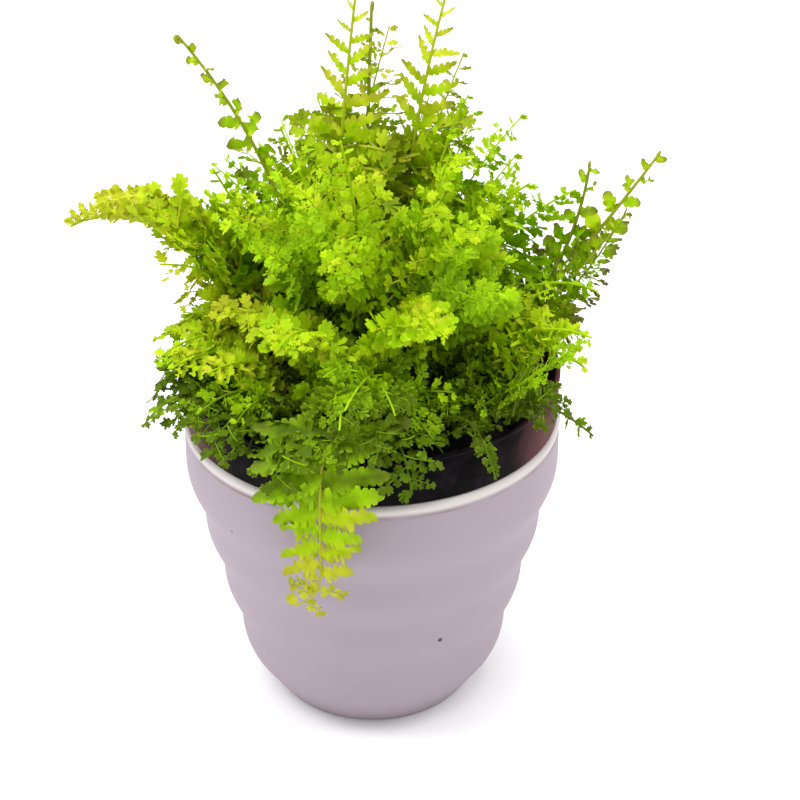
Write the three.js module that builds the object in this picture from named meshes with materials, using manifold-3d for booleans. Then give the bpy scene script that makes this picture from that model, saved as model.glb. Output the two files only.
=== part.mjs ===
// A lacy sword fern in a nursery pot, which stands inside a white cover pot with wavy sides.
// Millimetres, +Z up. The origin is the middle of the cover pot's underside, and -Y is the front.

import * as THREE from "three";
import { mergeVertices } from "three/addons/utils/BufferGeometryUtils.js";
import Module from "manifold-3d";

const wasm = await Module();
wasm.setup();

// ---------------------------------------------------------------- driving dimensions

const TAU = 2 * Math.PI;
const gap = 0.35; // between pieces that touch

const cover = {
  height: 127,
  lipRadius: 75.3, // outside of the straight top band
  bandBottom: 105, // where the straight band gives way to the waves
  baseRadius: 40.5,
  bevelTop: 18, // the bevel from the base to the lowest wave
  bevelRadius: 52.8,
  taper: 0.2565, // radius gained for each millimetre of height
  taperRadius: 47.7, // where the taper line meets the base plane
  waveHeight: 26,
  waveDepth: 0.85,
  waveStart: 17,
  wall: 3,
  lipWall: 3.5,
  lipArcs: 4, // straight pieces over the rounded lip
  floor: 3,
  step: 6.5, // height of one ring of faces
  sides: 36,
};

const nursery = {
  top: 147,
  baseRadius: 49,
  taperRadius: 73.6, // what the wall's taper would reach at the top
  collarRadius: 74.4, // outside of the wide collar at its lower edge
  rimRadius: 75, // outside of the collar at the rim
  rimEdge: 0.9, // takes the corner off the rim
  wall: 1.3,
  floor: 1.6,
  sides: 40,
  drainHoles: 6,
  drainRadius: 4,
  drainRing: 34,
  drillDepth: 12,
  drillSides: 8,
};

const soil = {
  top: 128,
  crown: 2.5, // how far the middle stands above the edge
  shoulder: 0.7, // share of the radius, and of the crown, where the top bends
  holeDepth: 9,
  sides: 30,
};

const stem = {
  width: 1.7,
  thickness: 1.3,
  tip: 0.55, // share of the width that is left at the tip
  steps: 80, // in which its middle line is drawn
  bareSpan: 13, // between cross-sections below the leaflets
};

const leaflet = {
  thickness: 0.7,
  spacing: 10.2, // along the stem, one opposite pair to each
  fewest: 4, // pairs on a frond
  forward: 22, // degrees that a leaflet points towards the tip
  shoulder: 0.6, // share of the length where a plain one is widest
  lobedFrom: 21, // length from which the edges are cut into lobes
  lobes: 3,
  lobesEnd: 0.8, // share of the length that the lobes take
  notch: 0.6, // width left between two lobes
  narrowing: 0.25, // width lost from foot to tip
  tipSide: 0.35, // how far the tip stands forward
  margin: 0.05, // share of the spacing kept free on each side
  clearance: 0.45, // kept to the leaflets and stems of other fronds
  samples: 5, // points tried on each side of an outline, to keep it out of the pots
};

// The leaflets of a frond grow longer from the first to a quarter of the way, then shorter.
const taper = { first: 0.55, fullFrom: 0.25, last: 0.16, power: 0.7 };

const merging = 1e-4; // corners closer than this are one

const crownTop = soil.top + soil.crown;

// ---------------------------------------------------------------- small helpers

const radians = (degrees) => (degrees * Math.PI) / 180;
const polar = (radius, degrees, z) =>
  new THREE.Vector3(radius * Math.cos(radians(degrees)), radius * Math.sin(radians(degrees)), z);

// A seeded random number from 0 to 1, after the mulberry32 rule.
function seeded(seed) {
  let state = seed;
  return () => {
    state = (state + 0x6d2b79f5) | 0;
    let t = Math.imul(state ^ (state >>> 15), 1 | state);
    t = (t + Math.imul(t ^ (t >>> 7), 61 | t)) ^ t;
    return ((t ^ (t >>> 14)) >>> 0) / 4294967296;
  };
}

function solidFrom(geometry) {
  const plain = geometry.clone();
  plain.deleteAttribute("normal");
  plain.deleteAttribute("uv");
  const merged = mergeVertices(plain, merging);
  return new wasm.Manifold(
    new wasm.Mesh({
      numProp: 3,
      vertProperties: new Float32Array(merged.attributes.position.array),
      triVerts: new Uint32Array(merged.index.array),
    }),
  );
}

function geometryFrom(solid) {
  const mesh = solid.getMesh();
  const geometry = new THREE.BufferGeometry();
  geometry.setAttribute("position", new THREE.BufferAttribute(mesh.vertProperties, mesh.numProp));
  geometry.setIndex(new THREE.BufferAttribute(mesh.triVerts, 1));
  geometry.computeVertexNormals();
  return geometry;
}

// A solid of revolution about Z from [radius, z] points that run up the outside and down the inside.
function turned(points, sides) {
  const profile = points.map(([radius, z]) => new THREE.Vector2(radius, z));
  return new THREE.LatheGeometry(profile, sides).rotateX(Math.PI / 2);
}

// ---------------------------------------------------------------- cover pot

function coverRadius(z) {
  if (z >= cover.bandBottom) return cover.lipRadius;
  if (z <= cover.bevelTop)
    return THREE.MathUtils.lerp(cover.baseRadius, cover.bevelRadius, z / cover.bevelTop);
  const wave = Math.sin((TAU * (z - cover.waveStart)) / cover.waveHeight);
  return Math.min(cover.lipRadius, cover.taperRadius + cover.taper * z + cover.waveDepth * wave);
}

function coverPot() {
  const lip = cover.lipWall / 2;
  const lipMiddle = cover.lipRadius - lip;
  const shoulder = cover.height - lip;
  const rings = 2 * Math.round((shoulder - cover.bevelTop) / cover.step / 2);
  const heights = [];
  for (let i = 0; i <= rings; i++)
    heights.push(THREE.MathUtils.lerp(cover.bevelTop, shoulder, i / rings));
  const outside = heights.map((z) => [coverRadius(z), z]);
  const roundLip = [];
  for (let i = 1; i < cover.lipArcs; i++) {
    const turn = (Math.PI * i) / cover.lipArcs;
    roundLip.push([lipMiddle + lip * Math.cos(turn), shoulder + lip * Math.sin(turn)]);
  }
  const inside = [[lipMiddle - lip, shoulder]];
  for (let i = rings - 4; i >= 0; i -= 2)
    inside.push([coverRadius(heights[i]) - cover.wall, heights[i]]);
  const points = [
    [0, 0],
    [cover.baseRadius, 0],
    ...outside,
    ...roundLip,
    ...inside,
    [coverRadius(cover.floor) - cover.wall, cover.floor],
    [0, cover.floor],
  ];
  return turned(points, cover.sides);
}

// ---------------------------------------------------------------- nursery pot

// The nursery pot's bottom edge rests on the inside of the cover pot's bevel.
const bevelSlope = cover.bevelTop / (cover.bevelRadius - cover.baseRadius);
const nurseryBottom =
  (nursery.baseRadius + gap + cover.wall - cover.baseRadius) * bevelSlope;
const nurserySlope =
  (nursery.taperRadius - nursery.baseRadius) / (nursery.top - nurseryBottom);
const nurseryRadius = (z) => nursery.baseRadius + nurserySlope * (z - nurseryBottom);

// Its collar is as wide as the cover pot's lip and ends just above it.
function nurseryPot() {
  const collarBottom = cover.height + gap;
  const ledge = collarBottom + nursery.wall;
  const points = [
    [0, nurseryBottom],
    [nursery.baseRadius, nurseryBottom],
    [nurseryRadius(collarBottom), collarBottom],
    [nursery.collarRadius, collarBottom],
    [nursery.rimRadius, nursery.top - nursery.rimEdge],
    [nursery.rimRadius - nursery.rimEdge, nursery.top],
    [nursery.rimRadius - nursery.wall, nursery.top],
    [nursery.collarRadius - nursery.wall, ledge],
    [nurseryRadius(ledge) - nursery.wall, ledge],
    [nursery.baseRadius - nursery.wall, nurseryBottom + nursery.floor],
    [0, nurseryBottom + nursery.floor],
  ];
  let pot = solidFrom(turned(points, nursery.sides));
  for (let i = 0; i < nursery.drainHoles; i++) {
    const { drainRadius, drillDepth, drillSides } = nursery;
    const drill = new THREE.CylinderGeometry(drainRadius, drainRadius, drillDepth, drillSides);
    drill.rotateX(Math.PI / 2);
    const centre = polar(nursery.drainRing, (360 * i) / nursery.drainHoles, nurseryBottom);
    drill.translate(centre.x, centre.y, centre.z);
    pot = pot.subtract(solidFrom(drill));
  }
  return geometryFrom(pot);
}

// ---------------------------------------------------------------- how the fronds grow

// Each frond: azimuth and sweep in degrees (0 is +X, 90 the back), root radius and root azimuth,
// length, lean from upright at the root and at the tip, bend (the share of the length over which
// the lean changes), power (above 1 it bends late), leaflet length, roll about the stem, fold of
// the leaflets (below 0 they droop), and bare, the share of stem with no leaflets.
const plain = { sweep: 0, bend: 1, power: 1.2, roll: 0, fold: -8, bare: 0.2, leaf: 18 };

const shownFronds = [
  // the tall ones, from left to right
  { azimuth: 168, sweep: 10, root: 22, rootAzimuth: 165, length: 164, lean: [-1, 38], leaf: 10,
    roll: 70, bare: 0.4, power: 1 },
  { azimuth: 64, root: 18, rootAzimuth: 155, length: 161, lean: [1, 16], leaf: 16, bare: 0.3,
    power: 0.9 },
  { azimuth: 80, root: 6, rootAzimuth: 140, length: 156, lean: [9, 13], leaf: 5, bare: 0.45,
    power: 1 },
  { azimuth: 56, root: 16, rootAzimuth: 60, length: 160, lean: [2, 28], leaf: 15, bare: 0.3 },
  { azimuth: 13, sweep: 8, root: 35, rootAzimuth: 12, length: 124, lean: [43, 39], leaf: 12,
    roll: 60, bare: 0.35 },
  { azimuth: 14, sweep: 15, root: 38, rootAzimuth: 25, length: 106, lean: [57, 7], leaf: 8,
    roll: 60, bare: 0.4, power: 1 },
  // the right side
  { azimuth: -23, sweep: 8, root: 40, rootAzimuth: -12, length: 72, lean: [0, 105], leaf: 15 },
  { azimuth: 5, root: 36, rootAzimuth: 5, length: 88, lean: [-8, 122], leaf: 16 },
  { azimuth: -36, sweep: 2, root: 40, rootAzimuth: -42, length: 78, lean: [18, 120], leaf: 12,
    bare: 0.3, power: 0.9 },
  { azimuth: -12, sweep: 8, root: 40, rootAzimuth: -74, length: 88, lean: [56, 48], leaf: 13,
    bare: 0.3 },
  // the left side
  { azimuth: 176, sweep: -5, root: 27, rootAzimuth: 172, length: 130, lean: [26, 123], leaf: 20,
    fold: 40, bare: 0.35, power: 2.5 },
  { azimuth: 176, sweep: -10, root: 28, rootAzimuth: 150, length: 99, lean: [14, 32], leaf: 17 },
  { azimuth: 208, root: 40, rootAzimuth: 188, length: 68, lean: [2, 124], leaf: 17 },
  { azimuth: 186, root: 34, rootAzimuth: 178, length: 66, lean: [4, 112], leaf: 17 },
  { azimuth: 203, root: 46, rootAzimuth: 203, length: 62, lean: [20, 146], leaf: 13, power: 1.1 },
  // the one that hangs over the front of the pot
  { azimuth: -103, root: 38, rootAzimuth: -100, length: 134, lean: [2, 178], bend: 0.6, leaf: 28,
    bare: 0.25, fold: -4 },
];

// The rest of the fronds stand in rings, from the upright middle to the low edge. Each leans out by
// turn degrees to the left or right of straight outwards, by turns, and rolls to face outwards. A
// ring goes all round, or over span degrees.
const rings = [
  { count: 6, first: 25, root: 13, length: 126, lean: [3, 27], leaf: 20, bare: 0.3, turn: 0 },
  { count: 9, first: -80, root: 23, length: 106, lean: [4, 84], leaf: 23, bare: 0.25, turn: 16 },
  { count: 10, first: -108, root: 31, length: 78, lean: [6, 112], leaf: 22, bare: 0.2, turn: 28 },
  { count: 9, first: -52, root: 40, length: 61, lean: [5, 126], leaf: 18, bare: 0.2, turn: 20 },
  { count: 5, first: -166, span: 100, root: 50, length: 60, lean: [0, 165], leaf: 17, bare: 0.2,
    turn: 10 },
];
const rollShare = 0.4; // of the turn

// How far a ring's fronds differ from its rule, either way.
const scatter = {
  rootAzimuth: 6, azimuth: 8, root: 2, sweep: 14, length: 0.1, lean: 8, roll: 18, fold: 12,
};
const ringFold = -6;
const sweepPower = 1.5; // the sweep comes late along the stem

function frondPlan() {
  const draw = seeded(20);
  const vary = (amount) => amount * (2 * draw() - 1);
  const plan = shownFronds.map((frond) => ({ ...plain, ...frond }));
  for (const ring of rings)
    for (let i = 0; i < ring.count; i++) {
      const along = ((ring.span ?? 360) * i) / ring.count;
      const rootAzimuth = ring.first + along + vary(scatter.rootAzimuth);
      const turn = i % 2 === 0 ? ring.turn : -ring.turn;
      plan.push({
        ...plain,
        ...ring,
        azimuth: rootAzimuth + turn + vary(scatter.azimuth),
        rootAzimuth,
        root: ring.root + vary(scatter.root),
        sweep: vary(scatter.sweep),
        length: ring.length * (1 + vary(scatter.length)),
        lean: [ring.lean[0], ring.lean[1] + vary(scatter.lean)],
        roll: rollShare * turn + vary(scatter.roll),
        fold: ringFold + vary(scatter.fold),
      });
    }
  return plan;
}

// The stem's middle line, in short steps, with the direction of growth at each step.
function stemLine(frond) {
  const { steps } = stem;
  const line = [polar(frond.root, frond.rootAzimuth, crownTop)];
  const along = [];
  for (let i = 0; i < steps; i++) {
    const share = (i + 0.5) / steps;
    const bent = Math.min(1, share / frond.bend) ** frond.power;
    const lean = radians(THREE.MathUtils.lerp(frond.lean[0], frond.lean[1], bent));
    const heading = frond.azimuth + frond.sweep * share ** sweepPower;
    along.push(polar(Math.sin(lean), heading, Math.cos(lean)));
    line.push(line[i].clone().addScaledVector(along[i], frond.length / steps));
  }
  along.push(along[steps - 1]);
  return { frond, line, along };
}

// One cross-section of the stem: its middle, the way to its left side and the way up from it.
function station(grown, share) {
  const at = share * stem.steps;
  const low = Math.min(stem.steps - 1, Math.floor(at));
  const middle = grown.line[low].clone().lerp(grown.line[low + 1], at - low);
  const along = grown.along[low].clone().lerp(grown.along[low + 1], at - low).normalize();
  const heading = radians(grown.frond.azimuth + grown.frond.sweep * share ** sweepPower);
  const side = new THREE.Vector3(-Math.sin(heading), Math.cos(heading), 0);
  side.applyAxisAngle(along, radians(grown.frond.roll));
  const up = along.clone().cross(side).normalize();
  side.crossVectors(up, along);
  return { middle, along, side, up, share };
}

// ---------------------------------------------------------------- keeping fronds clear of each other

// A slab is a thin closed prism: two outlines, one above the other. Its triangles and edges are kept
// for the test, and its box sorts out the slabs that are far away.
function slab(topOutline, bottomOutline) {
  const count = topOutline.length;
  const faces = [];
  const edges = [];
  for (let i = 0; i < count; i++) {
    const next = (i + 1) % count;
    edges.push([topOutline[i], topOutline[next]], [bottomOutline[i], bottomOutline[next]]);
    edges.push([topOutline[i], bottomOutline[i]]);
    faces.push([topOutline[i], bottomOutline[i], bottomOutline[next]]);
    faces.push([topOutline[i], bottomOutline[next], topOutline[next]]);
  }
  for (let i = 1; i < count - 1; i++) {
    faces.push([topOutline[0], topOutline[i], topOutline[i + 1]]);
    faces.push([bottomOutline[0], bottomOutline[i], bottomOutline[i + 1]]);
  }
  const box = new THREE.Box3().setFromPoints([...topOutline, ...bottomOutline]);
  return { faces, edges, box };
}

const ray = new THREE.Ray();
const hit = new THREE.Vector3();
function edgesCross(first, second) {
  return first.edges.some(([from, to]) => {
    ray.origin.copy(from);
    ray.direction.subVectors(to, from);
    const reach = ray.direction.length();
    ray.direction.divideScalar(reach);
    return second.faces.some(
      ([a, b, c]) =>
        ray.intersectTriangle(a, b, c, false, hit) !== null && hit.distanceTo(from) <= reach,
    );
  });
}

const slabsCross = (first, second) =>
  first.box.intersectsBox(second.box) &&
  (edgesCross(first, second) || edgesCross(second, first));

const potInside = nurseryRadius(soil.top) - nursery.wall - leaflet.clearance;

// True where a point is in the pots, in the soil or in the ground.
function inPots(point) {
  const radius = Math.hypot(point.x, point.y);
  if (point.z < leaflet.clearance) return true;
  if (radius > cover.lipRadius + leaflet.clearance) return false;
  if (radius > potInside) return point.z < nursery.top + leaflet.clearance;
  return point.z < crownTop + leaflet.clearance;
}

function meetsPots(outline) {
  const { samples } = leaflet;
  return outline.some((from, i) => {
    const to = outline[(i + 1) % outline.length];
    for (let k = 0; k < samples; k++) if (inPots(from.clone().lerp(to, k / samples))) return true;
    return false;
  });
}

// ---------------------------------------------------------------- stems

function corners(at, grow = 0) {
  const scale = THREE.MathUtils.lerp(1, stem.tip, at.share);
  const half = (stem.width * scale) / 2 + grow;
  const rise = (stem.thickness * scale) / 2 + grow;
  const corner = (left, above) =>
    at.middle.clone().addScaledVector(at.side, left * half).addScaledVector(at.up, above * rise);
  return {
    topLeft: corner(1, 1),
    topRight: corner(-1, 1),
    bottomRight: corner(-1, -1),
    bottomLeft: corner(1, -1),
  };
}

// The stations of a frond: two on the upright foot, a few up the bare stem, then one for each
// boundary between leaflets.
function stationsOf(grown) {
  const { frond } = grown;
  const heading = radians(frond.azimuth);
  const foot = (z) => ({
    middle: polar(frond.root, frond.rootAzimuth, z),
    along: new THREE.Vector3(0, 0, 1),
    side: new THREE.Vector3(-Math.sin(heading), Math.cos(heading), 0),
    up: new THREE.Vector3(-Math.cos(heading), -Math.sin(heading), 0),
    share: 0,
  });
  const stations = [foot(soil.top - soil.holeDepth + gap), foot(crownTop)];
  const bareSpans = Math.max(1, Math.round((frond.bare * frond.length) / stem.bareSpan));
  for (let i = 1; i < bareSpans; i++) {
    const share = (frond.bare * i) / bareSpans;
    stations.push(station(grown, share));
  }
  const leafy = (1 - frond.bare) * frond.length;
  const pairs = Math.max(leaflet.fewest, Math.round(leafy / leaflet.spacing));
  const firstLeaf = stations.length;
  for (let i = 0; i <= pairs; i++)
    stations.push(station(grown, THREE.MathUtils.lerp(frond.bare, 1, i / pairs)));
  return { ...grown, stations, firstLeaf, pairs };
}

function stemSlabs(grown) {
  const { stations } = grown;
  return stations.slice(1, -1).map((at, i) => {
    const low = corners(at, leaflet.clearance);
    const high = corners(stations[i + 2], leaflet.clearance);
    return slab(
      [low.topLeft, low.topRight, high.topRight, high.topLeft],
      [low.bottomLeft, low.bottomRight, high.bottomRight, high.bottomLeft],
    );
  });
}

// ---------------------------------------------------------------- leaflets

// How long a leaflet is at a share of the leafy stretch, against the longest one.
function leafTaper(share) {
  const rise = taper.first + (1 - taper.first) * Math.min(1, share / taper.fullFrom);
  return rise * (taper.last + (1 - taper.last) * (1 - share) ** taper.power);
}

// The outline of one leaflet as pairs of [distance, half width] shares. Long leaflets have their
// edges cut into lobes.
function lobes(length) {
  if (length <= leaflet.lobedFrom)
    return [[leaflet.shoulder, 1 - leaflet.narrowing * leaflet.shoulder]];
  const out = [];
  for (let i = 1; i <= leaflet.lobes; i++) {
    const distance = (leaflet.lobesEnd * i) / leaflet.lobes;
    const cut = i % 2 === 0 ? leaflet.notch : 1;
    out.push([distance, cut * (1 - leaflet.narrowing * distance)]);
  }
  return out;
}

// The points of a leaflet on one side of a span: hand is 1 on the left and -1 on the right.
function leafPoints(low, high, hand, length, fold, thickness, grow) {
  const base = low.middle.clone().lerp(high.middle, 0.5);
  const run = high.middle.clone().sub(low.middle);
  const span = run.length();
  run.divideScalar(span);
  const side = low.side.clone().add(high.side).normalize().multiplyScalar(hand);
  const up = low.up.clone().add(high.up).normalize();
  const forward = radians(leaflet.forward);
  const out = side.multiplyScalar(Math.cos(forward)).addScaledVector(run, Math.sin(forward));
  out.multiplyScalar(Math.cos(radians(fold))).addScaledVector(up, Math.sin(radians(fold)));
  const normal = run.clone().cross(out).multiplyScalar(hand).normalize();
  const half = span * (0.5 - leaflet.margin);
  const at = (distance, width, level) =>
    base
      .clone()
      .addScaledVector(out, distance * (length + grow))
      .addScaledVector(run, width * (half + grow))
      .addScaledVector(normal, level * (thickness / 2 + grow));
  const face = (level) => {
    const lower = [];
    const upper = [];
    for (const [distance, width] of lobes(length)) {
      lower.push(at(distance, -width, level));
      upper.push(at(distance, width, level));
    }
    return { lower, upper, tip: at(1, leaflet.tipSide, level) };
  };
  return { top: face(1), bottom: face(-1) };
}

function leafSlab(low, high, hand, length, fold) {
  const points = leafPoints(low, high, hand, length, fold, leaflet.thickness, leaflet.clearance);
  const ends = [corners(low), corners(high)];
  const outline = (level) => {
    const { lower, upper, tip } = level > 0 ? points.top : points.bottom;
    const corner = (level > 0 ? "top" : "bottom") + (hand > 0 ? "Left" : "Right");
    const foot = ends.map((end) => end[corner]);
    const widest = (list) => list[list.length > 1 ? 2 : 0];
    return [foot[0], widest(lower), tip, widest(upper), foot[1]];
  };
  return { body: slab(outline(1), outline(-1)), outline: outline(1), under: outline(-1) };
}

// What a leaflet tries in turn to stay clear: [degrees added to its fold, share of its length].
const escapes = [
  [0, 1], [13, 1], [-13, 1], [26, 0.95], [-26, 0.95], [40, 0.9], [-40, 0.9], [0, 0.7], [20, 0.7],
  [-20, 0.7], [0, 0.45], [35, 0.5], [-35, 0.5], [0, 0.25],
];

function placeLeaves(grown, obstacles) {
  const { frond, stations, firstLeaf, pairs } = grown;
  const leaves = [];
  const own = [];
  for (let i = 0; i < pairs; i++)
    for (const hand of [1, -1]) {
      const low = stations[firstLeaf + i];
      const high = stations[firstLeaf + i + 1];
      const full = frond.leaf * leafTaper((i + 0.5) / pairs);
      const fits = escapes.find(([turn, share]) => {
        const trial = leafSlab(low, high, hand, full * share, frond.fold + turn);
        if (meetsPots(trial.outline) || meetsPots(trial.under)) return false;
        return !obstacles.some(({ owner, body }) => owner !== frond && slabsCross(trial.body, body));
      });
      if (!fits) continue;
      const length = full * fits[1];
      const fold = frond.fold + fits[0];
      leaves.push({ span: firstLeaf + i, hand, length, fold });
      own.push({ owner: frond, body: leafSlab(low, high, hand, length, fold).body });
    }
  obstacles.push(...own);
  return { ...grown, leaves };
}

// ---------------------------------------------------------------- one frond as one closed solid

function frondGeometry(grown) {
  const { stations, leaves } = grown;
  const positions = [];
  const face = (...points) => {
    for (let i = 1; i < points.length - 1; i++)
      for (const point of [points[0], points[i], points[i + 1]])
        positions.push(point.x, point.y, point.z);
  };
  const frames = stations.map((at) => corners(at));
  const first = frames[0];
  const last = frames[frames.length - 1];
  face(first.topLeft, first.bottomLeft, first.bottomRight, first.topRight);
  face(last.topLeft, last.topRight, last.bottomRight, last.bottomLeft);
  for (let i = 0; i + 1 < frames.length; i++) {
    const low = frames[i];
    const high = frames[i + 1];
    face(low.topRight, high.topRight, high.topLeft, low.topLeft);
    face(low.bottomLeft, high.bottomLeft, high.bottomRight, low.bottomRight);
    for (const hand of [1, -1]) {
      const left = hand > 0;
      const lowTop = left ? low.topLeft : low.topRight;
      const highTop = left ? high.topLeft : high.topRight;
      const lowBottom = left ? low.bottomLeft : low.bottomRight;
      const highBottom = left ? high.bottomLeft : high.bottomRight;
      const facing = (...points) => face(...(left ? points : points.reverse()));
      const leaf = leaves.find((one) => one.span === i && one.hand === hand);
      if (!leaf) {
        facing(lowTop, highTop, highBottom, lowBottom);
        continue;
      }
      const { top, bottom } = leafPoints(
        stations[i], stations[i + 1], hand, leaf.length, leaf.fold, leaflet.thickness, 0,
      );
      const lowers = [lowTop, ...top.lower];
      const uppers = [highTop, ...top.upper];
      const lowersUnder = [lowBottom, ...bottom.lower];
      const uppersUnder = [highBottom, ...bottom.upper];
      const end = lowers.length - 1;
      for (let k = 0; k < end; k++) {
        facing(lowers[k], uppers[k], uppers[k + 1]);
        facing(lowers[k], uppers[k + 1], lowers[k + 1]);
        facing(lowersUnder[k], uppersUnder[k + 1], uppersUnder[k]);
        facing(lowersUnder[k], lowersUnder[k + 1], uppersUnder[k + 1]);
        facing(lowers[k], lowers[k + 1], lowersUnder[k + 1], lowersUnder[k]);
        facing(uppers[k + 1], uppers[k], uppersUnder[k], uppersUnder[k + 1]);
      }
      facing(lowers[end], uppers[end], top.tip);
      facing(lowersUnder[end], bottom.tip, uppersUnder[end]);
      facing(lowers[end], top.tip, bottom.tip, lowersUnder[end]);
      facing(top.tip, uppers[end], uppersUnder[end], bottom.tip);
    }
  }
  const geometry = new THREE.BufferGeometry();
  geometry.setAttribute("position", new THREE.Float32BufferAttribute(positions, 3));
  const merged = mergeVertices(geometry, merging);
  merged.computeVertexNormals();
  return merged;
}

// A stem whose line would cross one that stands already is turned a little until it is clear.
function growFronds() {
  const turns = [0, 5, -5, 10, -10, 15, -15, 20, -20, 25, -25, 30, -30];
  const obstacles = [];
  const stems = frondPlan().map((frond) => {
    let grown;
    let bodies;
    for (const turn of turns) {
      const turned = { ...frond, azimuth: frond.azimuth + turn };
      grown = stationsOf(stemLine(turned));
      bodies = stemSlabs(grown);
      const crossing = obstacles.some(({ body }) => bodies.some((own) => slabsCross(own, body)));
      if (!crossing) break;
    }
    obstacles.push(...bodies.map((body) => ({ owner: grown.frond, body })));
    return grown;
  });
  return stems.map((grown) => placeLeaves(grown, obstacles));
}

// ---------------------------------------------------------------- soil

function soilBody(fronds) {
  const bottom = nurseryBottom + nursery.floor + gap;
  const inside = (z) => nurseryRadius(z) - nursery.wall - gap;
  const points = [
    [0, bottom],
    [inside(bottom) - gap, bottom],
    [inside(soil.top), soil.top],
    [inside(soil.top) * soil.shoulder, soil.top + soil.crown * soil.shoulder],
    [0, crownTop],
  ];
  let body = solidFrom(turned(points, soil.sides));
  for (const { frond } of fronds) {
    const depth = soil.holeDepth + 2 * soil.crown;
    const hole = new THREE.BoxGeometry(stem.thickness + 2 * gap, stem.width + 2 * gap, depth);
    hole.rotateZ(radians(frond.azimuth));
    const root = polar(frond.root, frond.rootAzimuth, soil.top - soil.holeDepth + depth / 2);
    hole.translate(root.x, root.y, root.z);
    body = body.subtract(solidFrom(hole));
  }
  return geometryFrom(body);
}

// ---------------------------------------------------------------- the whole plant

const materials = {
  whitePlastic: new THREE.MeshStandardMaterial({ color: 0xcdc3cb, roughness: 0.35, metalness: 0 }),
  maroonPlastic: new THREE.MeshStandardMaterial({ color: 0x4a2a2a, roughness: 0.45, metalness: 0 }),
  pottingSoil: new THREE.MeshStandardMaterial({ color: 0x2a211c, roughness: 0.95, metalness: 0 }),
  leafGreen: new THREE.MeshStandardMaterial({ color: 0x9ccc1e, roughness: 0.55, metalness: 0 }),
};

const plant = new THREE.Group();

function addPiece(name, geometry, material) {
  const mesh = new THREE.Mesh(geometry, material);
  mesh.name = name;
  plant.add(mesh);
}

const fronds = growFronds();
addPiece("cover_pot", coverPot(), materials.whitePlastic);
addPiece("nursery_pot", nurseryPot(), materials.maroonPlastic);
addPiece("soil", soilBody(fronds), materials.pottingSoil);
fronds.forEach((grown, i) => {
  const number = String(i + 1).padStart(2, "0");
  addPiece("frond_" + number, frondGeometry(grown), materials.leafGreen);
});

export default plant;
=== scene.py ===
"""A bushy lacy fern in a grower's pot, inside a white cover pot with wavy sides. Metres, +Z up."""

import math

import bpy
import numpy as np
from mathutils import Euler, Matrix, Vector


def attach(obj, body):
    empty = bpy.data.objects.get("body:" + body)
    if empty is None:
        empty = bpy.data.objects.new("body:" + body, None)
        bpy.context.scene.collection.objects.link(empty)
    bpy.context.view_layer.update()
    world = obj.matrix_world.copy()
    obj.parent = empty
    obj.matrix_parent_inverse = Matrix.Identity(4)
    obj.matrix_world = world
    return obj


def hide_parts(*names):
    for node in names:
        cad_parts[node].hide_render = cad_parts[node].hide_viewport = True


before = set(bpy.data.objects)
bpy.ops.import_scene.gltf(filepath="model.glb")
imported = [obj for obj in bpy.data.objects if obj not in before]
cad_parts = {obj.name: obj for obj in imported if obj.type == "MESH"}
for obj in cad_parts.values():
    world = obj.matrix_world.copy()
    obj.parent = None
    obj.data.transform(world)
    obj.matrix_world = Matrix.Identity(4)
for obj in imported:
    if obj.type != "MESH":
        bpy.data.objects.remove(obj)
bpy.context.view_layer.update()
scene = bpy.context.scene
MM = 0.001

# ---------------------------------------------------------------- camera
# A long lens looks down on the pot from the front, as a person does at a table.
LENS = 99
SENSOR = 36
ELEVATION = math.radians(30.2)
DISTANCE = 882 * MM
AIM = Vector((11.3 * MM, 0, 130 * MM))

bpy.ops.object.camera_add()
camera = bpy.context.object
camera.data.lens = LENS
camera.data.sensor_width = SENSOR
camera.data.clip_start = 0.05
camera.location = AIM + DISTANCE * Vector((0, -math.cos(ELEVATION), math.sin(ELEVATION)))
camera.rotation_euler = (math.pi / 2 - ELEVATION, 0, 0)
scene.camera = camera

# ---------------------------------------------------------------- cover pot
# Moulded white plastic with a rounded lip, four soft waves and a bevelled foot. It is drawn up from
# its underside one ring at a time, over the lip and down the inside to its floor.
COVER_HEIGHT = 127
LIP_RADIUS = 75.3
BAND_BOTTOM = 105
BASE_RADIUS = 40.5
BEVEL_TOP = 18
BEVEL_RADIUS = 52.8
TAPER = 0.2565
TAPER_RADIUS = 47.7
WAVE_HEIGHT = 26
WAVE_DEPTH = 0.85
WAVE_START = 17
COVER_WALL = 3
LIP_WALL = 3.5
COVER_FLOOR = 3
COVER_SIDES = 144


def start_clean():
    if bpy.context.object and bpy.context.object.mode != "OBJECT":
        bpy.ops.object.mode_set(mode="OBJECT")
    bpy.ops.object.select_all(action="DESELECT")


def turned_piece(name, profile, sides):
    """A closed shell of revolution, drawn ring by ring through [radius, height] points in millimetres."""
    start_clean()
    radius, height = profile[0]
    bpy.ops.mesh.primitive_circle_add(
        vertices=sides, radius=radius * MM, fill_type="TRIFAN", location=(0, 0, height * MM)
    )
    piece = bpy.context.object
    piece.name = name
    bpy.ops.object.transform_apply(location=True)
    bpy.ops.object.mode_set(mode="EDIT")
    bpy.ops.mesh.select_all(action="SELECT")
    bpy.ops.mesh.region_to_loop()
    for (r0, z0), (r1, z1) in zip(profile, profile[1:]):
        bpy.ops.mesh.extrude_region_move(TRANSFORM_OT_translate={"value": (0, 0, (z1 - z0) * MM)})
        bpy.ops.transform.resize(value=(r1 / r0, r1 / r0, 1), center_override=(0, 0, z1 * MM))
    bpy.ops.mesh.merge(type="CENTER")
    bpy.ops.mesh.select_all(action="SELECT")
    bpy.ops.mesh.normals_make_consistent(inside=False)
    bpy.ops.object.mode_set(mode="OBJECT")
    bpy.ops.object.shade_smooth()
    return piece


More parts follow.
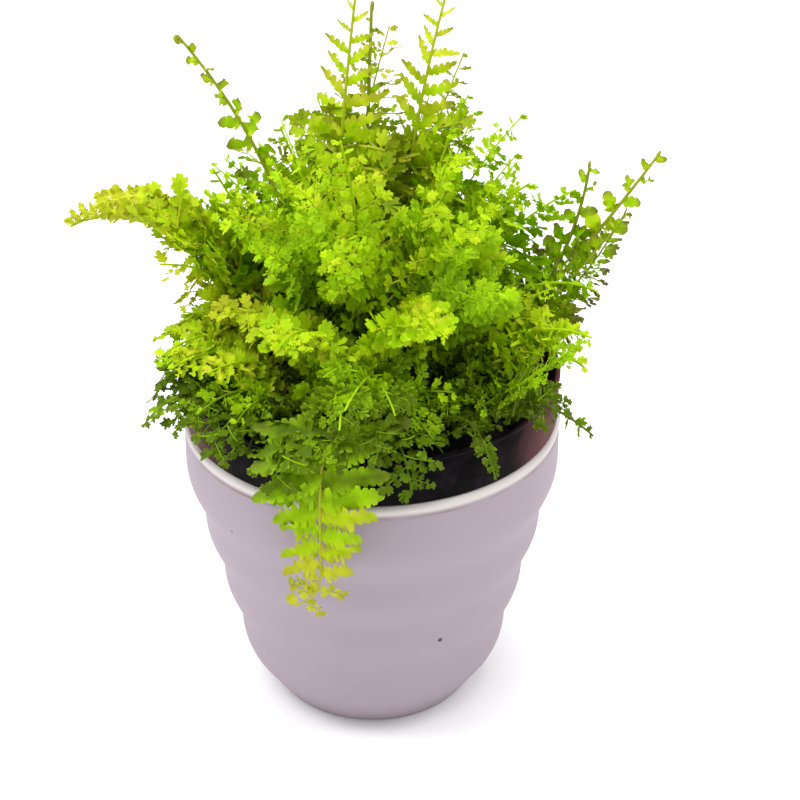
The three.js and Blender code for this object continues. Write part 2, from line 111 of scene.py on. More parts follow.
def cover_radius(z):
    if z >= BAND_BOTTOM:
        return LIP_RADIUS
    if z <= BEVEL_TOP:
        return BASE_RADIUS + (BEVEL_RADIUS - BASE_RADIUS) * z / BEVEL_TOP
    wave = math.sin(math.tau * (z - WAVE_START) / WAVE_HEIGHT)
    return min(LIP_RADIUS, TAPER_RADIUS + TAPER * z + WAVE_DEPTH * wave)


def cover_profile():
    """The outside is softened by averaging the CAD profile over a few millimetres."""
    blur = 2.2
    lip = LIP_WALL / 2
    shoulder = COVER_HEIGHT - lip
    outside = []
    for z in np.arange(1.2, shoulder - 3, 2.0):
        around = [cover_radius(max(0.0, z + d)) for d in np.linspace(-blur, blur, 9)]
        outside.append((float(np.mean(around)), float(z)))
    middle = LIP_RADIUS - lip
    bead = 0.35
    lip_arc = [
        (middle + (lip + bead) * math.cos(a), shoulder + lip * math.sin(a))
        for a in np.radians(np.linspace(-20, 180, 13))
    ]
    under_lip = [(LIP_RADIUS - 0.15, shoulder - 2.2)]
    inside = [
        (cover_radius(z) - COVER_WALL, float(z)) for z in np.arange(BAND_BOTTOM + 6, BEVEL_TOP - 1, -6)
    ]
    foot = [(BASE_RADIUS - 2.5, 0.0), (BASE_RADIUS - 0.8, 0.15), (BASE_RADIUS, 0.6)]
    floor = [(cover_radius(COVER_FLOOR) - COVER_WALL, COVER_FLOOR), (8.0, COVER_FLOOR)]
    return foot + outside + under_lip + lip_arc + inside + floor


cover_pot = turned_piece("cover_pot_shell", cover_profile(), COVER_SIDES)


def material(name):
    made = bpy.data.materials.new(name)
    made.use_nodes = True
    nodes = made.node_tree.nodes
    return made, nodes, made.node_tree.links, nodes["Principled BSDF"]


SPECKS = [(27.2, 52.0, 1.1), (-53.8, 100.7, 0.7), (-17.3, 45.5, 0.4), (41.0, 62.0, 0.5)]
DIRT_LINE = COVER_HEIGHT - 5.0


def spread_out(nodes, links, value, low, high):
    """A Map Range node that takes value from low to high into 0 to 1, and its result."""
    spread = nodes.new("ShaderNodeMapRange")
    spread.inputs["From Min"].default_value = low
    spread.inputs["From Max"].default_value = high
    links.new(value, spread.inputs["Value"])
    return spread.outputs["Result"]


def combined(nodes, links, operation, first, second):
    math_node = nodes.new("ShaderNodeMath")
    math_node.operation = operation
    for socket, value in zip(math_node.inputs, (first, second)):
        if isinstance(value, (int, float)):
            socket.default_value = value
        else:
            links.new(value, socket)
    return math_node.outputs["Value"]


def mixed(nodes, links, share, first, second):
    """A colour from first to second by share. Each may be a colour or a socket."""
    mix = nodes.new("ShaderNodeMix")
    mix.data_type = "RGBA"
    links.new(share, mix.inputs["Factor"])
    for name, value in (("A", first), ("B", second)):
        if isinstance(value, tuple):
            mix.inputs[name].default_value = (*value, 1)
        else:
            links.new(value, mix.inputs[name])
    return mix.outputs["Result"]


def noise(nodes, links, vector, scale, detail):
    texture = nodes.new("ShaderNodeTexNoise")
    texture.inputs["Scale"].default_value = scale
    texture.inputs["Detail"].default_value = detail
    links.new(vector, texture.inputs["Vector"])
    return texture.outputs["Fac"]


def white_plastic():
    made, nodes, links, shader = material("white plastic")
    where = nodes.new("ShaderNodeTexCoord").outputs["Object"]
    split = nodes.new("ShaderNodeSeparateXYZ")
    links.new(where, split.inputs["Vector"])
    clouds = noise(nodes, links, where, 14, 3)
    colour = mixed(nodes, links, clouds, (0.31, 0.256, 0.297), (0.338, 0.279, 0.322))
    # painted highlight: the lip is painted paler as though lit from above, and creamier in tint
    lip = spread_out(nodes, links, split.outputs["Z"], (DIRT_LINE + 0.5) * MM, (COVER_HEIGHT - 3) * MM)
    colour = mixed(nodes, links, lip, colour, (0.56, 0.52, 0.50))
    # a broken brown line of dirt has gathered just under it
    off_line = combined(nodes, links, "SUBTRACT", split.outputs["Z"], DIRT_LINE * MM)
    off_line = combined(nodes, links, "ABSOLUTE", off_line, 0.0)
    near_line = spread_out(nodes, links, off_line, 0.8 * MM, 0.2 * MM)
    patches = spread_out(nodes, links, noise(nodes, links, where, 45, 5), 0.42, 0.62)
    dirt = combined(nodes, links, "MULTIPLY", near_line, patches)
    dirt = combined(nodes, links, "MULTIPLY", dirt, 0.75)
    colour = mixed(nodes, links, dirt, colour, (0.20, 0.12, 0.09))
    # faint long smears from handling
    stretch = nodes.new("ShaderNodeMapping")
    stretch.inputs["Scale"].default_value = (1, 1, 9)
    links.new(where, stretch.inputs["Vector"])
    smears = spread_out(nodes, links, noise(nodes, links, stretch.outputs["Vector"], 16, 5), 0.56, 0.75)
    smears = combined(nodes, links, "MULTIPLY", smears, 0.3)
    colour = mixed(nodes, links, smears, colour, (0.33, 0.25, 0.30))
    # a few dark specks on the front
    for across, up, radius in SPECKS:
        front = -math.sqrt(cover_radius(up) ** 2 - across**2)
        spot = nodes.new("ShaderNodeVectorMath")
        spot.operation = "DISTANCE"
        spot.inputs[1].default_value = (across * MM, front * MM, up * MM)
        links.new(where, spot.inputs[0])
        ragged = combined(nodes, links, "MULTIPLY", noise(nodes, links, where, 900, 2), 1.2 * MM)
        far = combined(nodes, links, "ADD", spot.outputs["Value"], ragged)
        speck = spread_out(nodes, links, far, (radius + 0.7) * MM, (radius + 0.2) * MM)
        colour = mixed(nodes, links, speck, colour, (0.035, 0.03, 0.035))
    links.new(colour, shader.inputs["Base Color"])
    rough = spread_out(nodes, links, clouds, -2.4, 2.2)
    links.new(rough, shader.inputs["Roughness"])
    shader.inputs["Specular IOR Level"].default_value = 0.35
    bump = nodes.new("ShaderNodeBump")
    bump.inputs["Strength"].default_value = 0.15
    bump.inputs["Distance"].default_value = 0.2 * MM
    links.new(noise(nodes, links, where, 260, 3), bump.inputs["Height"])
    links.new(bump.outputs["Normal"], shader.inputs["Normal"])
    return made


cover_pot.data.materials.append(white_plastic())
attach(cover_pot, "root")
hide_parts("cover_pot")

# ---------------------------------------------------------------- nursery pot
# The grower's pot of maroon plastic. It stands on the cover pot's bevel, and its rolled rim stands
# 20 mm above the white lip.
NURSERY_TOP = 147
NURSERY_BASE = 49
TAPER_TOP_RADIUS = 73.6
COLLAR_RADIUS = 74.4
RIM_RADIUS = 75
NURSERY_WALL = 1.3
NURSERY_FLOOR = 1.6
GAP = 0.35
NURSERY_SIDES = 120
DRAIN_HOLES = 6
DRAIN_RADIUS = 4
DRAIN_RING = 34
DRAIN_SIDES = 24

bevel_slope = BEVEL_TOP / (BEVEL_RADIUS - BASE_RADIUS)
nursery_bottom = (NURSERY_BASE + GAP + COVER_WALL - BASE_RADIUS) * bevel_slope
nursery_slope = (TAPER_TOP_RADIUS - NURSERY_BASE) / (NURSERY_TOP - nursery_bottom)


def nursery_radius(z):
    return NURSERY_BASE + nursery_slope * (z - nursery_bottom)


def nursery_profile():
    collar = COVER_HEIGHT + GAP
    ledge = collar + NURSERY_WALL
    soft = 0.5
    wall = [(nursery_radius(z), z) for z in np.linspace(nursery_bottom + 0.8, collar - soft, 8)]
    step = [
        (nursery_radius(collar) + soft, collar),
        (COLLAR_RADIUS - soft, collar),
        (COLLAR_RADIUS - 0.1, collar + 0.15),
        (COLLAR_RADIUS, collar + soft),
    ]
    roll = 1.1
    rim_middle = RIM_RADIUS - roll
    rim = [
        (rim_middle + roll * math.cos(a), NURSERY_TOP - roll + roll * math.sin(a))
        for a in np.radians(np.linspace(-70, 180, 11))
    ]
    under_rim = [(RIM_RADIUS - 0.35, NURSERY_TOP - 2.6)]
    inside = [
        (RIM_RADIUS - 0.4 - NURSERY_WALL, NURSERY_TOP - 3),
        (COLLAR_RADIUS - NURSERY_WALL, ledge + soft),
        (COLLAR_RADIUS - NURSERY_WALL - soft, ledge),
        (nursery_radius(ledge) - NURSERY_WALL + soft, ledge),
    ]
    inside += [
        (nursery_radius(z) - NURSERY_WALL, z)
        for z in np.linspace(ledge - soft, nursery_bottom + NURSERY_FLOOR, 7)
    ]
    foot = [(NURSERY_BASE - 1.2, nursery_bottom)]
    return foot + wall + step + under_rim + rim + inside + [(6.0, nursery_bottom + NURSERY_FLOOR)]


nursery_pot = turned_piece("nursery_pot_shell", nursery_profile(), NURSERY_SIDES)

# a ring of drain holes is cut through its floor
start_clean()
drills = []
for i in range(DRAIN_HOLES):
    around = i * math.tau / DRAIN_HOLES
    place = Vector((DRAIN_RING * math.cos(around), DRAIN_RING * math.sin(around), nursery_bottom)) * MM
    bpy.ops.mesh.primitive_cylinder_add(
        vertices=DRAIN_SIDES, radius=DRAIN_RADIUS * MM, depth=4 * NURSERY_FLOOR * MM, location=place
    )
    drills.append(bpy.context.object)
for drill in drills:
    drill.select_set(True)
bpy.ops.object.join()
drill = bpy.context.object
start_clean()
nursery_pot.select_set(True)
bpy.context.view_layer.objects.active = nursery_pot
drain = nursery_pot.modifiers.new("drain", "BOOLEAN")
drain.operation = "DIFFERENCE"
drain.solver = "EXACT"
drain.object = drill
bpy.ops.object.modifier_apply(modifier="drain")
bpy.data.objects.remove(drill)


def maroon_plastic():
    made, nodes, links, shader = material("maroon plastic")
    where = nodes.new("ShaderNodeTexCoord").outputs["Object"]
    split = nodes.new("ShaderNodeSeparateXYZ")
    links.new(where, split.inputs["Vector"])
    dust_and_shadow_noise = noise(nodes, links, where, 60, 6)
    colour = mixed(nodes, links, dust_and_shadow_noise, (0.07, 0.024, 0.026), (0.14, 0.05, 0.052))
    # painted shadow: the front of the collar is painted near black, as though in the shade of the
    # overhanging fronds, with ragged edges and faint lumps
    front = spread_out(nodes, links, split.outputs["Y"], -28 * MM, -58 * MM)
    painted_shadow = combined(nodes, links, "MULTIPLY", front, 1.15)
    ragged = combined(nodes, links, "MULTIPLY", combined(nodes, links, "SUBTRACT", dust_and_shadow_noise, 0.5), 0.9)
    painted_shadow = combined(nodes, links, "ADD", painted_shadow, ragged)
    shadow_lumps = spread_out(nodes, links, noise(nodes, links, where, 130, 4), 0.45, 0.7)
    painted_shadow_colour = mixed(nodes, links, shadow_lumps, (0.001, 0.0006, 0.001), (0.009, 0.005, 0.007))
    colour = mixed(nodes, links, spread_out(nodes, links, painted_shadow, 0.15, 0.9), colour, painted_shadow_colour)
    links.new(colour, shader.inputs["Base Color"])
    shader.inputs["Roughness"].default_value = 0.6
    shader.inputs["Specular IOR Level"].default_value = 0.05
    bump = nodes.new("ShaderNodeBump")
    bump.inputs["Strength"].default_value = 0.25
    bump.inputs["Distance"].default_value = 0.2 * MM
    links.new(noise(nodes, links, where, 500, 4), bump.inputs["Height"])
    links.new(bump.outputs["Normal"], shader.inputs["Normal"])
    return made


nursery_pot.data.materials.append(maroon_plastic())
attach(nursery_pot, "root")
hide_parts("nursery_pot")

# ---------------------------------------------------------------- soil
# Dark potting mix that fills the nursery pot to below its rim, lumpy and with crumbs on top.
SOIL_TOP = 128
SOIL_CROWN = 2.5
SOIL_SIDES = 90
LUMP = 1.6
CRUMBS = 420
CRUMB_SIZES = (0.5, 1.9)


def soil_profile():
    bottom = nursery_bottom + NURSERY_FLOOR + GAP
    edge = nursery_radius(SOIL_TOP) - NURSERY_WALL - GAP
    side = [(NURSERY_BASE - NURSERY_WALL - 2 * GAP, bottom), (edge, SOIL_TOP - 1.0)]
    top = [
        (edge * k, SOIL_TOP + SOIL_CROWN * (1 - k * k)) for k in np.linspace(0.98, 0.03, 26)
    ]
    return side + top


def roughened(points, size, seed):
    """Smooth pseudo-random heights for points, from a few crossed waves."""
    draw = np.random.default_rng(seed)
    total = np.zeros(len(points))
    for k in range(14):
        way = draw.normal(size=3)
        way *= (1.0 + k * 0.5) / size / np.linalg.norm(way)
        total += np.sin(points @ way + draw.uniform(0, math.tau)) / (1.0 + 0.35 * k)
    return total / 3


def points_of(mesh):
    flat = np.empty(len(mesh.vertices) * 3)
    mesh.vertices.foreach_get("co", flat)
    return flat.reshape(-1, 3)


soil = turned_piece("potting_soil", soil_profile(), SOIL_SIDES)
places = points_of(soil.data)
on_top = places[:, 2] > (SOIL_TOP - 0.5) * MM
places[on_top, 2] += LUMP * MM * roughened(places[on_top], 6 * MM, 4)
soil.data.vertices.foreach_set("co", places.ravel())
soil.data.update()

# loose crumbs lie on the soil, each half sunk in
start_clean()
bpy.ops.mesh.primitive_ico_sphere_add(subdivisions=1, radius=MM)
crumb = bpy.context.object
draw = np.random.default_rng(12)
for _ in range(CRUMBS):
    copy = bpy.data.objects.new("crumb", crumb.data.copy())
    scene.collection.objects.link(copy)
    copy.select_set(True)
    reach = (nursery_radius(SOIL_TOP) - 2 * NURSERY_WALL) * math.sqrt(draw.uniform(0, 0.95))
    around = draw.uniform(0, math.tau)
    place = Vector((reach * math.cos(around), reach * math.sin(around), SOIL_TOP + 1.2)) * MM
    turn = Euler(draw.uniform(0, math.tau, 3))
    size = Vector(draw.uniform(*CRUMB_SIZES, 3))
    copy.data.transform(Matrix.LocRotScale(place, turn, size))
crumb.select_set(False)
soil.select_set(True)
bpy.context.view_layer.objects.active = soil
bpy.ops.object.join()
bpy.data.objects.remove(crumb)


def potting_mix():
    made, nodes, links, shader = material("potting mix")
    where = nodes.new("ShaderNodeTexCoord").outputs["Object"]
    grains = noise(nodes, links, where, 420, 8)
    damp = spread_out(nodes, links, grains, 0.35, 0.72)
    colour = mixed(nodes, links, damp, (0.010, 0.007, 0.006), (0.06, 0.042, 0.032))
    links.new(colour, shader.inputs["Base Color"])
    bump = nodes.new("ShaderNodeBump")
    bump.inputs["Strength"].default_value = 0.6
    bump.inputs["Distance"].default_value = 0.8 * MM
    links.new(grains, bump.inputs["Height"])
    links.new(bump.outputs["Normal"], shader.inputs["Normal"])
    shader.inputs["Roughness"].default_value = 0.92
    return made


soil.data.materials.append(potting_mix())
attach(soil, "root")
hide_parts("soil")

# ---------------------------------------------------------------- how the fronds grow
# Each frond is a stem that leaves the soil, bends over and carries a leaflet on either side at every
# few millimetres. Angles are in degrees, with 0 for +X and 90 for the back, and sizes in millimetres.

# azimuth, sweep: the way that it heads, and how far that turns along it
# lean, bend, power: from upright at root and tip, the share of it that bends, and how late it bends
# roll, hook, coil: turned about its stem, the tip's turn to one side, and how wide the tip rolls up
# bare, leaf, belly, apart: its share without leaflets, their length, fullness and spacing
# ahead, skew, fold, to_light: their turn to the tip, more on one side, upwards, and to the light
# tone, rise, tan: how yellow the leaflets are, how much more so at the tip, and how brown; tone and rise
# also hold painted light and shade, low for fronds in shade and high for lit ones
# shade, stem: how much painted shade darkens it below, and the tone of its stem
# young, young_lean, young_length: younger fronds beside it, their extra lean, their share of its length
PLAIN = dict(
    kind="lacy", sweep=0, bend=1, power=1.2, roll=0, hook=0, coil=0, stout=1,
    bare=0.2, leaf=18, belly=1.8, apart=1, ahead=22, skew=0, fold=-8,
    tone=0.36, rise=0.14, tan=0.08, shade=0.42, stem=0.35, young=0, young_length=(0.7, 0.95),
)

SHOWN_FRONDS = [
    # the tall ones, from left to right
    dict(azimuth=168, sweep=10, root=22, root_azimuth=165, length=160, lean=(-1, 38), leaf=25, roll=70,
         bare=0.35, power=1, stout=1.35, stem=0.5, kind="bud", coil=1.7, tan=0.75, apart=0.24, belly=0.6,
         tone=0.42, rise=0.2),
    dict(azimuth=64, root=18, root_azimuth=155, length=161, lean=(1, 16), leaf=24, bare=0.3, power=0.9,
         belly=2, stout=1.3, stem=0.5, kind="combed", ahead=10, tan=0.35, tone=0.62, apart=0.66,
         rise=0.3, young=1, young_lean=(6, 16), young_kind="lacy"),
    dict(azimuth=80, root=6, root_azimuth=140, length=156, lean=(9, 13), leaf=8, bare=0.45, power=1,
         belly=1, stout=1.4, stem=0.4, kind="bud", coil=1.3, tan=0.95, apart=0.6),
    dict(azimuth=56, root=16, root_azimuth=60, length=160, lean=(2, 28), leaf=23, bare=0.3,
         belly=2, stout=1.3, stem=0.5, kind="combed", ahead=10, tan=0.35, tone=0.62, apart=0.66,
         rise=0.3, young=1, young_lean=(6, 20), young_kind="lacy"),
    dict(azimuth=13, sweep=8, root=35, root_azimuth=12, length=124, lean=(43, 39), leaf=26, roll=60,
         bare=0.25, stout=1.3, stem=0.5, kind="bud", coil=1.3, tan=0.75, tone=0.4, apart=0.24, belly=0.6,
         rise=0.2, young=1, young_lean=(0, 15), young_kind="lacy"),
    dict(azimuth=14, sweep=15, root=38, root_azimuth=25, length=106, lean=(57, 7), leaf=24, roll=60,
         bare=0.25, power=1, stout=1.3, stem=0.5, kind="bud", coil=1.3, tan=0.85, tone=0.4, apart=0.24,
         belly=0.6, young=1, young_lean=(0, 25), young_kind="lacy"),
    # the right side
    dict(azimuth=-23, sweep=8, root=40, root_azimuth=-12, length=72, lean=(0, 105), leaf=15, young=2,
         young_lean=(-25, 5)),
    dict(azimuth=5, root=36, root_azimuth=5, length=88, lean=(-8, 122), leaf=16, young=2,
         young_lean=(-30, 0)),
    # its low tone and stem tone are painted shade, as it lies low at the front under the dome
    dict(azimuth=-36, sweep=2, root=40, root_azimuth=-42, length=78, lean=(18, 120), leaf=13,
         bare=0.3, power=0.9, young=4, young_lean=(-15, 20), tone=0.1, stem=0, tan=0.2),
    dict(azimuth=-12, sweep=8, root=40, root_azimuth=-74, length=88, lean=(56, 48), leaf=13,
         bare=0.3, kind="toothed", tone=0.3),
    # the left side
    dict(azimuth=176, sweep=-5, root=27, root_azimuth=172, length=130, lean=(26, 123), leaf=25,
         fold=0, fold_tip=55, bare=0.3, power=2.5, tone=0.64, rise=0.4, shade=0, tan=0.05,
         kind="ruffled", apart=0.5, young=1, young_lean=(-25, -10)),
    dict(azimuth=176, sweep=-10, root=28, root_azimuth=150, length=99, lean=(14, 32), leaf=18,
         tone=0.55, shade=0, young=2, young_lean=(0, 25)),
    dict(azimuth=208, root=40, root_azimuth=188, length=68, lean=(2, 124), leaf=20, tone=0.5,
         shade=0, to_light=0.9, young=3, young_lean=(-40, -5)),
    dict(azimuth=186, root=34, root_azimuth=178, length=66, lean=(4, 112), leaf=21, tone=0.5,
         shade=0, to_light=0.9, young=4, young_lean=(-25, 10)),
    dict(azimuth=203, root=46, root_azimuth=203, length=62, lean=(20, 146), leaf=13, power=1.1,
         kind="toothed", tone=0.35, tan=0.3),
    # the one that hangs over the front of the pot; its low tone is painted shade on its upper leaflets,
    # and its rise makes it yellower towards the tip
    dict(azimuth=-103, root=38, root_azimuth=-100, length=134, lean=(2, 178), bend=0.6, leaf=32,
         bare=0.2, fold=-4, kind="toothed", tan=0.3, tone=-0.1, rise=1.6, shade=0, hook=70,
         belly=1.5, ahead=-10, skew=18, apart=0.74, stem=0.9),
]

# The rest stand in rings, from the upright middle to the low edge.
RINGS = [
    dict(count=6, first=25, root=13, length=126, lean=(3, 27), leaf=20, bare=0.3, turn=0, young=5,
         young_lean=(3, 40), tone=0.42, young_length=(0.85, 1.06)),
    dict(count=9, first=-80, root=23, length=106, lean=(4, 84), leaf=23, bare=0.25, turn=16, young=2,
         young_lean=(-35, 5), tone=0.36),
    dict(count=10, first=-108, root=31, length=78, lean=(6, 112), leaf=22, bare=0.2, turn=28, young=2,
         young_lean=(-30, 0), tone=0.36),
    # its low stem tone is painted shade on the stems under the dome
    dict(count=9, first=-52, root=40, length=61, lean=(5, 126), leaf=18, bare=0.2, turn=20, young=2,
         young_lean=(-35, 0), tone=0.34, stem=0.15),
    # the low edge ring's low tone and stem tone are painted shade under the dome
    dict(count=5, first=-166, span=100, root=50, length=60, lean=(0, 165), leaf=24, bare=0.2,
         turn=10, young=4, young_lean=(-50, -5), kind="toothed", tone=0.12, stem=0, belly=1),
]
ROLL_SHARE = 0.4
# Fronds that stand turned by some degrees to clear their neighbours.
TURNED = {19: 20, 35: 5, 44: -30, 48: -30}
# What sets single fronds apart from the rest of their ring, by their numbers.
SET_APART = {
    17: dict(leaf=26, young=4),
    22: dict(leaf=27, young=4),
    23: dict(tone=0.5, kind="ruffled", tan=0, to_light=0.7),
    26: dict(leaf=27, young=4),
    29: dict(tone=0.58, shade=0, leaf=27, young=4, young_lean=(-12, 12)),
    30: dict(tone=0.58, shade=0, leaf=27, young=4, young_lean=(-15, 10)),
    31: dict(tone=0.5, to_light=0.8),
    # a falling rise is painted shade on the low drooping tips of these two
    32: dict(rise=-0.35),
    33: dict(tone=0.52, rise=-0.35, kind="ruffled", tan=0, to_light=0.7),
    34: dict(tone=0.5, kind="ruffled", tan=0, to_light=0.7),
    35: dict(tone=0.52, shade=0),
    36: dict(tone=0.48, shade=0),
    38: dict(tone=0.54, shade=0, young=3),
    40: dict(tone=0.56, to_light=0.9, shade=0, young=3),
    41: dict(tone=0.56, to_light=0.9, shade=0, kind="ruffled", tan=0, young=3),
    # its low tone is painted shade at the front right
    42: dict(tone=0.1, young=5, young_lean=(-20, 12)),
    43: dict(tone=0.5, shade=0),
    44: dict(tone=0.5, shade=0),
    45: dict(tone=0.46, shade=0),
    47: dict(tone=0.54, shade=0),
    48: dict(tone=0.56, to_light=0.9, shade=0, young=3),
}
WORD = 0xFFFFFFFF


def seeded(seed):
    """The same seeded numbers from 0 to 1 as the solids are placed by."""
    state = seed

    def draw():
        nonlocal state
        state = (state + 0x6D2B79F5) & WORD
        t = ((state ^ (state >> 15)) * (1 | state)) & WORD
        t = ((t + ((t ^ (t >> 7)) * (61 | t))) & WORD) ^ t
        return ((t ^ (t >> 14)) & WORD) / 4294967296

    return draw


def frond_plan():
    draw = seeded(20)

    def vary(amount):
        return amount * (2 * draw() - 1)

    plan = [{**PLAIN, **frond} for frond in SHOWN_FRONDS]
    for ring in RINGS:
        for i in range(ring["count"]):
            root_azimuth = ring["first"] + ring.get("span", 360) * i / ring["count"] + vary(6)
            turn = ring["turn"] if i % 2 == 0 else -ring["turn"]
            frond = {**PLAIN, **ring, "root_azimuth": root_azimuth}
            frond["azimuth"] = root_azimuth + turn + vary(8)
            frond["root"] = ring["root"] + vary(2)
            frond["sweep"] = vary(14)
            frond["length"] = ring["length"] * (1 + vary(0.1))
            frond["lean"] = (ring["lean"][0], ring["lean"][1] + vary(8))
            frond["roll"] = ROLL_SHARE * turn + vary(18)
            frond["fold"] = -6 + vary(12)
            plan.append(frond)
    for number, turn in TURNED.items():
        plan[number - 1]["azimuth"] += turn
    for number, changes in SET_APART.items():
        plan[number - 1].update(changes)
    return plan


def direction(lean, heading):
    """The unit vector that leans from upright by lean, towards heading."""
    out = math.sin(lean)
    return np.array([out * math.cos(heading), out * math.sin(heading), math.cos(lean)])


STEM_STEPS = 80
SWEEP_POWER = 1.5
HOOK_FROM = 0.86
COIL_TURNS = 560
COIL_STEP = 18
COIL_TIGHTENS = 0.75


def grow_stem(frond):
    """Points and frames (along, side, up) down the middle of a stem, in millimetres."""
    foot = math.radians(frond["root_azimuth"])
    point = np.array(
        [frond["root"] * math.cos(foot), frond["root"] * math.sin(foot), SOIL_TOP + SOIL_CROWN]
    )
    points, along, side, up = [point], [], [], []
    step = frond["length"] / STEM_STEPS
    for i in range(STEM_STEPS):
        share = (i + 0.5) / STEM_STEPS
        bent = min(1, share / frond["bend"]) ** frond["power"]
        lean = math.radians(frond["lean"][0] + (frond["lean"][1] - frond["lean"][0]) * bent)
        heading = math.radians(frond["azimuth"] + frond["sweep"] * share**SWEEP_POWER)
        ahead = direction(lean, heading)
        roll = math.radians(frond["roll"])
        level = np.array([-math.sin(heading), math.cos(heading), 0.0])
        rise = np.cross(ahead, level)
        side.append(level * math.cos(roll) + rise * math.sin(roll))
        up.append(rise * math.cos(roll) - level * math.sin(roll))
        along.append(ahead)
        points.append(points[-1] + ahead * step)
    # the tip turns to one side
    hook = math.radians(frond["hook"])
    bent_from = round(HOOK_FROM * STEM_STEPS)
    for i in range(bent_from, STEM_STEPS if hook else 0):
        angle = hook * (i + 1 - bent_from) / (STEM_STEPS - bent_from)
        ahead, left = along[i], side[i]
        along[i] = ahead * math.cos(angle) - left * math.sin(angle)
        side[i] = left * math.cos(angle) + ahead * math.sin(angle)
        points[i + 1] = points[i] + along[i] * step
    # the tip rolls up into a coil that tightens as it goes
    curl = frond["coil"]
    turned_by = 0.0
    angle = math.radians(COIL_STEP)
    while curl and turned_by < COIL_TURNS:
        tight = curl * (1 - COIL_TIGHTENS * turned_by / COIL_TURNS)
        ahead = along[-1] * math.cos(angle) - up[-1] * math.sin(angle)
        rise = up[-1] * math.cos(angle) + along[-1] * math.sin(angle)
        along.append(ahead)
        up.append(rise)
        side.append(side[-1])
        points.append(points[-1] + ahead * tight * angle)
        turned_by += COIL_STEP
    return np.array(points), np.array(along), np.array(side), np.array(up)


# ---------------------------------------------------------------- leaf forms
# Thin green leaflets: toothed, fringed, ruffled and one-sided blades, wedges and buds, and lacy sprigs
# of small fans. Each is a flat shape that is doubled and closed at its edge. A form is one unit long
# along +X, with +Z as its upper side.
VARIANTS = 6
CLOSE = 1e-5


def both_faces(form):
    """Doubles the flat shape for the leaf's underside and gives its points and which are below."""
    bpy.ops.object.mode_set(mode="EDIT")
    bpy.ops.mesh.select_all(action="SELECT")
    bpy.ops.mesh.duplicate()
    bpy.ops.mesh.flip_normals()
    bpy.ops.object.mode_set(mode="OBJECT")
    flat = points_of(form.data)
    return flat, np.arange(len(flat)) >= len(flat) // 2


def closed_form(form, placed, width):
    """Closes the blade along its edge and gives its points, triangles and share from rib to edge."""
    form.data.vertices.foreach_set("co", placed.ravel())
    bpy.ops.object.mode_set(mode="EDIT")
    bpy.ops.mesh.select_all(action="SELECT")
    bpy.ops.mesh.remove_doubles(threshold=CLOSE)
    bpy.ops.mesh.quads_convert_to_tris(quad_method="BEAUTY", ngon_method="BEAUTY")
    bpy.ops.object.mode_set(mode="OBJECT")
    points = points_of(form.data)
    triangles = np.array([face.vertices[:] for face in form.data.polygons])
    edge = np.clip(np.abs(points[:, 1]) / width, 0, 1)
    mesh = form.data
    bpy.data.objects.remove(form)
    bpy.data.meshes.remove(mesh)
    return points, triangles, edge


IN_LOBE = (0.0, 0.2, 0.72)
LOBE_REACH = (0.0, 0.97, 1.0)
RIB = 0.012


def blade(lobes, depth, width, ruffle, droop, seed, curve=0.0, lower=1.0, belly=3.2):
    """A long blade with rounded lobes down both edges, which may curve and have a narrow lower side."""
    draw = np.random.default_rng(seed)
    start_clean()
    columns = 3 * lobes
    bpy.ops.mesh.primitive_grid_add(x_subdivisions=columns, y_subdivisions=2, size=1)
    form = bpy.context.object
    flat, under = both_faces(form)
    column = np.round((flat[:, 0] + 0.5) * columns).astype(int)
    row = np.round(flat[:, 1] * 2).astype(int)
    lift_of_lobe = draw.normal(0, 1, (2, lobes + 1))
    size_of_lobe = 1 + draw.normal(0, 0.07, (2, lobes + 1))
    waves = draw.uniform(1.2, 2.4, 2)
    phases = draw.uniform(0, math.tau, 2)
    placed = np.zeros_like(flat)
    for i in range(len(flat)):
        lobe, part = divmod(column[i], 3)
        s = min(1.0, (lobe + IN_LOBE[part]) / lobes)
        hand = 0 if row[i] < 0 else 1
        envelope = width * min(1, 0.45 + s / 0.2) * math.sqrt(max(0.0, 1 - s**belly))
        cut = LOBE_REACH[part] * size_of_lobe[hand][lobe] if part else 1 - depth * (1 - 0.45 * s)
        if column[i] == 0:
            cut = 0.15
        reach = abs(row[i]) * envelope * cut * (lower if row[i] < 0 else 1)
        x = s + abs(row[i]) * (0.03 if part else -0.02) * (1 - s)
        lift = 0.0
        if row[i]:
            wave = math.sin(math.tau * waves[hand] * s + phases[hand])
            lift = ruffle * reach * (wave + 0.6 * lift_of_lobe[hand][lobe] * (part > 0))
        placed[i] = (x, row[i] * reach + curve * s * s, lift - droop * s * s)
        if row[i] == 0:
            placed[i][2] += (-RIB if under[i] else RIB) * (1 - 0.6 * s)
    return closed_form(form, placed, 0.8 * width)


# One side of a fan's edge from its foot: a low lobe, a notch, a side lobe, a notch, half the middle lobe.
FAN_EDGE = [
    (0.18, 0.06), (0.30, 0.29), (0.47, 0.38), (0.52, 0.25), (0.66, 0.42), (0.86, 0.37), (0.80, 0.18),
    (0.97, 0.17), (1.03, 0.06),
]


